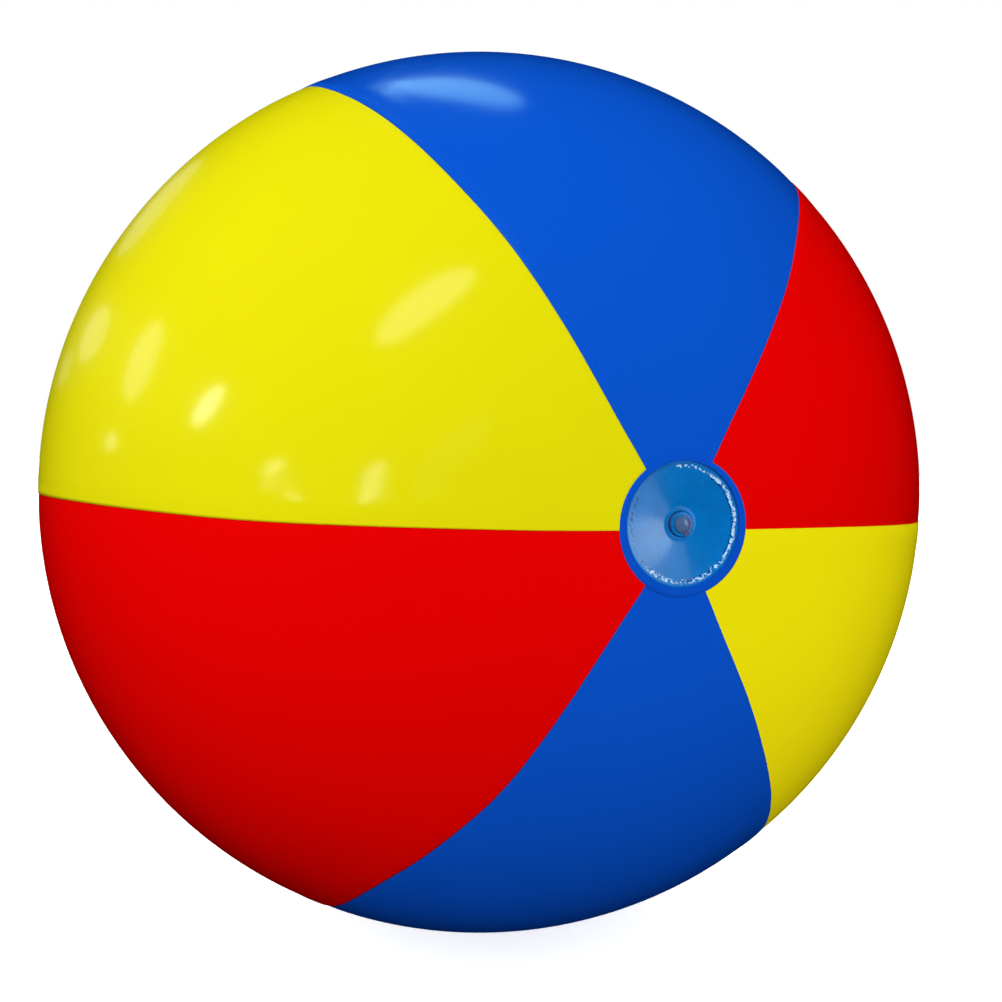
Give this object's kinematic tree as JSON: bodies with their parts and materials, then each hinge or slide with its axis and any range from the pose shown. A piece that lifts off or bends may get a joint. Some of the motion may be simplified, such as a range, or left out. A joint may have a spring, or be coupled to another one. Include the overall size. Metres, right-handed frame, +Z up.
{
  "type": "inflatable beach ball",
  "caption": "Inflated beach ball of coloured vinyl gores with pole patches and a push-in air valve with a hinged plug and a check flap.",
  "frame": {"origin": "on the ground, in the middle of the ball's outer box, below its centre", "axes": "+Z up; Y along the axis through the two poles, with the valve at the -Y pole; +X to the right when facing the valve"},
  "size_m": [0.582, 0.5818, 0.5811],
  "materials": {
    "yellow_film": "glossy soft vinyl film",
    "red_film": "glossy soft vinyl film",
    "blue_film": "glossy soft vinyl film",
    "blue_patch": "glossy soft vinyl film",
    "clear_blue_vinyl": "translucent moulded soft vinyl",
    "clear_vinyl": "clear soft vinyl",
    "plug_vinyl": "milky moulded soft vinyl"
  },
  "bodies": {
    "shell": {"top_blue_gore": "blue_film", "left_yellow_gore": "yellow_film", "left_red_gore": "red_film", "bottom_blue_gore": "blue_film", "right_yellow_gore": "yellow_film", "right_red_gore": "red_film", "ring_patch": "blue_patch", "rear_patch": "blue_patch", "valve_flange": "clear_blue_vinyl", "valve_web": "clear_blue_vinyl"},
    "stem": {"valve_stem": "clear_blue_vinyl", "check_seat": "clear_vinyl", "strap_ring": "plug_vinyl"},
    "plug": {"valve_plug": "plug_vinyl", "plug_strap": "plug_vinyl"},
    "flap": {"check_flap": "clear_vinyl"}
  },
  "joints": [
    {"name": "stem_slide", "type": "slide", "parent": "shell", "child": "stem", "axis": [0, -1, 0], "range_m": [0, 0.015], "deforming": ["valve_web"]},
    {"name": "plug_hinge", "type": "hinge", "parent": "stem", "child": "plug", "pos_m": [0.0027, -0.28875, 0.28545], "axis": [0.866, 0, 0.5], "range_deg": [0, 150]},
    {"name": "flap_hinge", "type": "hinge", "parent": "stem", "child": "flap", "pos_m": [0, -0.27285, 0.29333], "axis": [1, 0, 0], "range_deg": [0, 60]}
  ]
}
